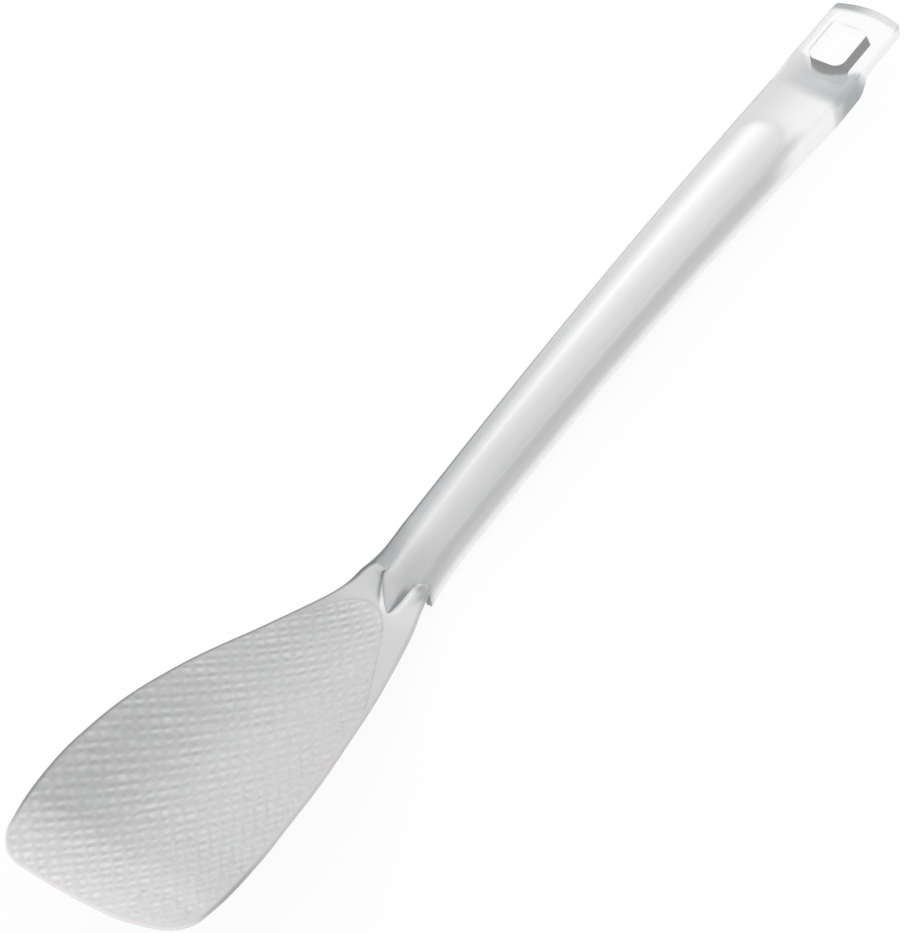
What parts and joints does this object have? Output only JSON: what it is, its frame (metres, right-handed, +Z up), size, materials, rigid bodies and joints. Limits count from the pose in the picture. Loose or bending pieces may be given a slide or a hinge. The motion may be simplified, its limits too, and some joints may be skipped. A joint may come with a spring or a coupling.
{
  "type": "rice paddle",
  "caption": "Long-handled rice paddle with a dished, dimpled blade, a hollow ribbed handle and a clear hanging tab with a rounded square hole.",
  "frame": {"origin": "middle of the bounding box, on the surface that the handle lies on", "axes": "+Y along the paddle from the blade's tip to the hanging tab, +Z up out of the dished face, +X across"},
  "size_m": [0.0632, 0.353, 0.0238],
  "materials": {
    "milky_blade": "translucent, with raised dots",
    "milky_handle": "translucent, smooth satin",
    "milky_back": "translucent, smooth satin",
    "clear_tab": "clear, polished"
  },
  "bodies": {
    "root": {"blade": "milky_blade", "handle_front": "milky_handle", "handle_back": "milky_back", "hanging_tab": "clear_tab"}
  },
  "joints": []
}
